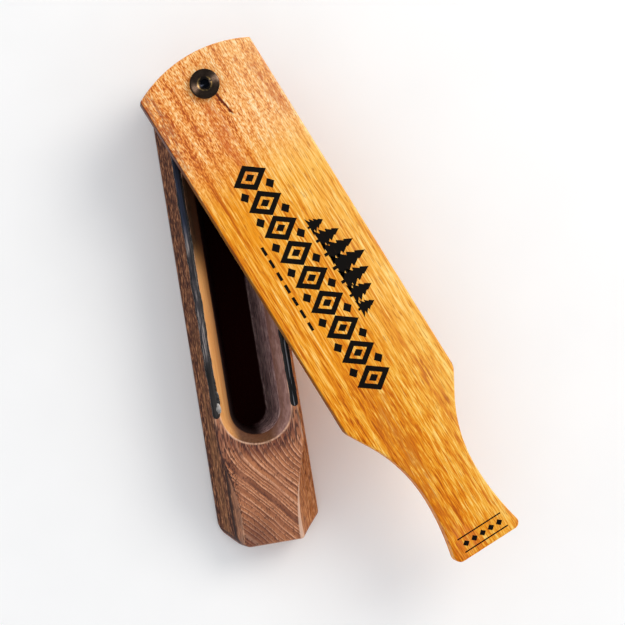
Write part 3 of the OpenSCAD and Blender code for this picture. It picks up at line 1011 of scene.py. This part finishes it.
def sharpen(piece, degrees):
    """Keeps edges steeper than an angle crisp."""
    bpy.context.view_layer.objects.active = piece
    piece.select_set(True)
    bpy.ops.object.shade_smooth_by_angle(angle=math.radians(degrees), keep_sharp_edges=False)
    piece.select_set(False)


def make_washer(name, body, low, high, outer, bore, material, node):
    """A flat ring with eased edges."""
    profile = eased([(bore, high), (outer, high), (outer, low), (bore, low)], 0.22)
    points, faces = spun(profile, 96, ring=True)
    piece = make_piece(name, points, faces)
    settle(piece, body, "washer", material, node)


def make_insert(material):
    """The flanged insert: its top, its coarse outer thread, and its bore, in which the screw turns."""
    segments = 72
    low, high, radius, flange = insert_low.z, insert_high.z, 4.7, insert_high.x
    under_flange = high - 1.0
    rows = [(INSERT_BORE_R, high), (INSERT_BORE_R + 0.3, high), (flange - 0.2, high)]
    rows += [(flange, high - 0.2), (flange, under_flange + 0.15), (flange - 0.15, under_flange)]
    rows += [(radius, under_flange)]
    rows += thread(radius, 0.55, 2.0, low + 0.5, under_flange - 0.2, segments, 14)
    rows += [(radius - 0.5, low), (INSERT_BORE_R, low)]
    bore_steps = round((high - low) * 2)
    rows += [(INSERT_BORE_R, z) for z in np.linspace(low, high, bore_steps + 1)[1:-1]]
    points, faces = spun(rows, segments, ring=True)
    piece = make_piece("threaded_insert_sleeve", points, faces)
    sharpen(piece, 40)
    settle(piece, "box", "insert", material, "threaded_insert")


def make_spring(material):
    """Compression spring with closed end coils, over the height of the spring's node."""
    turns, end_turns, steps_per_turn, sides = 6.5, 0.85, 36, 12
    wire_r = 0.5
    coil_r = spring_high.y - wire_r
    low, high = spring_low.z + wire_r, spring_high.z - wire_r
    turn = np.linspace(0, turns, round(turns * steps_per_turn) + 1)
    active = np.clip((turn - end_turns) / (turns - 2 * end_turns), 0, 1)
    closed = np.clip(turn, 0, end_turns) + np.clip(turn - turns + end_turns, 0, end_turns)
    closed *= wire_r * 1.02
    height = low + closed + (high - low - closed[-1]) * active
    points, faces = [], []
    for angle, middle_z in zip(TAU * turn, height):
        for a in np.arange(sides) * TAU / sides:
            reach, z = coil_r + wire_r * math.cos(a), middle_z + wire_r * math.sin(a)
            points.append((reach * math.cos(angle), reach * math.sin(angle), z))
    for a in range(0, len(points) - sides, sides):
        b = a + sides
        faces += [(a + j, a + (j + 1) % sides, b + (j + 1) % sides, b + j) for j in range(sides)]
    faces += [tuple(range(sides))[::-1], tuple(range(len(points) - sides, len(points)))]
    piece = make_piece("lid_spring_coil", points, faces)
    piece.data.materials.append(material)
    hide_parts("lid_spring")
    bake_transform(piece)


# ---- Printed ornament


def lozenge(u, v, half_u, half_v):
    return [(u - half_u, v), (u, v - half_v), (u + half_u, v), (u, v + half_v)]


def bar(u_low, u_high, v_low, v_high):
    return [(u_low, v_low), (u_high, v_low), (u_high, v_high), (u_low, v_high)]


def conifer(u, foot, height, spread, tiers=4):
    """Silhouette of a fir: a trunk with drooping tiers that narrow towards the top."""
    half = [(0.06 * spread, foot), (0.06 * spread, foot + 0.12 * height)]
    for i in range(tiers):
        low = foot + height * (0.12 + 0.88 * i / tiers)
        wide = spread / 2 * (1 - i / tiers) ** 0.8
        half += [(wide, low - 0.03 * height), (wide * 0.42, low + 0.75 * height * 0.88 / tiers)]
    half[-1] = (0, foot + height)
    left = [(-w, v) for w, v in half[:-1]]
    return [(u + w, v) for w, v in half + left[::-1]]


def make_plates(name, solid, framed, low, high):
    """Thin flat shapes: solid outlines, and framed pairs of outer and inner outlines."""
    points, faces = [], []

    def add(outline, z):
        first = len(points)
        points.extend((a, b, z) for a, b in outline)
        return list(range(first, first + len(outline)))

    def walls(lower, upper):
        return [(lower[i - 1], lower[i], upper[i], upper[i - 1]) for i in range(len(lower))]

    for outline in solid:
        lower, upper = add(outline, low), add(outline, high)
        faces.extend([lower[::-1], upper] + walls(lower, upper))
    for outer, inner in framed:
        rings = [add(outer, low), add(outer, high), add(inner, high), add(inner, low)]
        for a, b in zip(rings, rings[1:] + rings[:1]):
            faces.extend(walls(a, b))
    return make_piece(name, turned_about_z(np.array(points), SWING), faces, smooth=False)


def lozenge_chain(count=9, first=46.5, pitch=13.2, v=-4.9):
    """Framed lozenges in a row along the lid, with small ones in and between them."""
    middles = [first + pitch * i for i in range(count)]
    framed = [(lozenge(u, v, 6.5, 8.6), lozenge(u, v, 3.5, 4.7)) for u in middles]
    solid = [lozenge(u, v, 1.9, 2.5) for u in middles]
    for u in middles[:-1]:
        solid += [lozenge(u + pitch / 2, v + side * 6.6, 2.6, 2.3) for side in (-1, 1)]
    return solid, framed


def dashes(count=7, first=76, pitch=6.6, length=4.2):
    """A line of dashes beside the chain."""
    starts = [first + pitch * i for i in range(count)]
    return [bar(u, u + length, -17.6, -16.2) for u in starts]


def fir_row(first=79.5, pitch=7.2, foot=5.4):
    """A row of firs along the chain, tallest in the middle, from pairs of height and spread."""
    sizes = ((8, 9), (12, 11), (15, 12), (17, 13), (14.5, 12), (11.5, 11), (8.5, 9))
    return [conifer(first + pitch * i, foot, *size) for i, size in enumerate(sizes)]


def end_mark(u=237.4, pitch=4.4, line=0.3):
    """Five small squares between two lines, at the end of the handle."""
    squares = [lozenge(u, pitch * k, 1.5, 1.7) for k in range(-2, 3)]
    lines = [bar(u + side * 3.3 - line, u + side * 3.3 + line, -11.5, 11.5) for side in (-1, 1)]
    return squares + lines


def make_print(material):
    """Generic ornament on the lid: a chain of lozenges, dashes, a row of firs, and a small end mark."""
    chain, framed = lozenge_chain()
    solid = chain + dashes() + fir_row() + end_mark()
    piece = make_plates("lid_print", solid, framed, LID_TOP - 0.01, LID_TOP + 0.03)
    settle(piece, "lid", "print", material)


# ---- Camera, lights and floor


def make_camera():
    """A long lens almost straight above the object, turned a little about its view. Places of the
    camera and the lights are in metres."""
    place, target = Vector((0.1415, -0.0594, 0.9448)), Vector((0.10894, 0.03175, 0.05))
    roll = math.radians(-9.37)
    ahead = (target - place).normalized()
    right = ahead.cross(Vector((-1, 0, 0))).normalized()
    axes = Matrix((right, right.cross(ahead), -ahead)).transposed() @ Matrix.Rotation(roll, 3, "Z")
    data = bpy.data.cameras.new("camera")
    data.lens, data.sensor_width = 115.0, 36.0
    camera = bpy.data.objects.new("camera", data)
    camera.matrix_world = Matrix.Translation(place) @ axes.to_4x4()
    bpy.context.scene.collection.objects.link(camera)
    bpy.context.scene.camera = camera


def make_light(name, place, target, size, power, colour):
    data = bpy.data.lights.new(name, "AREA")
    data.shape, data.size, data.energy, data.color = "DISK", size, power, colour
    light = bpy.data.objects.new(name, data)
    light.location = place
    light.rotation_euler = (Vector(target) - Vector(place)).to_track_quat("-Z", "Y").to_euler()
    bpy.context.scene.collection.objects.link(light)
    return light


def make_stage():
    """Pale floor and soft light: a warm key from the lid's side, cool light from all round, and a small
    light beside the key that only makes glossy surfaces sparkle."""
    bpy.ops.mesh.primitive_plane_add(size=6, location=(0.1, 0, 0))
    floor = bpy.context.object
    floor.name = "floor"
    floor.data.materials.append(floor_paint())
    world = bpy.data.worlds.new("studio")
    world.use_nodes = True
    background = world.node_tree.nodes["Background"]
    background.inputs["Color"].default_value = (0.95, 0.97, 1.0, 1)
    background.inputs["Strength"].default_value = 0.84
    bpy.context.scene.world = world
    make_light("key", (-0.5, 0.95, 1.15), (0.1, 0.0, 0.03), 0.9, 9.1, (1.0, 0.94, 0.86))
    sparkle = make_light("sparkle", (-0.52, 0.97, 1.1), (0.0, 0.0, 0.05), 0.45, 60.0, (1.0, 0.9, 0.8))
    sparkle.visible_diffuse = False
    bpy.context.scene.view_settings.view_transform = "Standard"


make_camera()
make_stage()
make_box(walnut())
make_lid(lid_wood())
rail_material = rail_black()
black_glue = cured_glue("cured_black_glue", 0.3, 0.9, (0.22, 0.4),
                        (0.3, tone(3, 2, 3)), (0.7, tone(14, 13, 15)))
grey_glue = cured_glue("cured_grey_lump", 0.6, 0.6, (0.3, 0.5),
                       (0.35, tone(54, 52, 52)), (0.65, tone(146, 142, 138)))
for rail_side in (LEFT, RIGHT):
    make_rail(rail_side, rail_material)
    make_glue(rail_side, black_glue)
make_lumps(black_glue, grey_glue)
make_screw(screw_metal())
washer_material = metal("zinc_plate", tone(120, 120, 118), tone(190, 190, 186), 0.25, 0.4)
washer_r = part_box("head_washer")[1].y / MM
make_washer("head_washer_disc", "swivel", LID_TOP, LID_TOP + WASHER_THICK, washer_r, SHANK_R + 0.05,
            washer_material, "head_washer")
make_washer("spring_washer_disc", "lid", spring_high.z, LID_LOW, 5.0, LID_BORE_R - 0.1,
            washer_material, "spring_washer")
make_insert(metal("brass", tone(150, 108, 40), tone(214, 168, 84), 0.28, 0.42))
make_spring(metal("spring_steel", tone(96, 98, 100), tone(176, 178, 180), 0.22, 0.36))
make_print(print_ink())
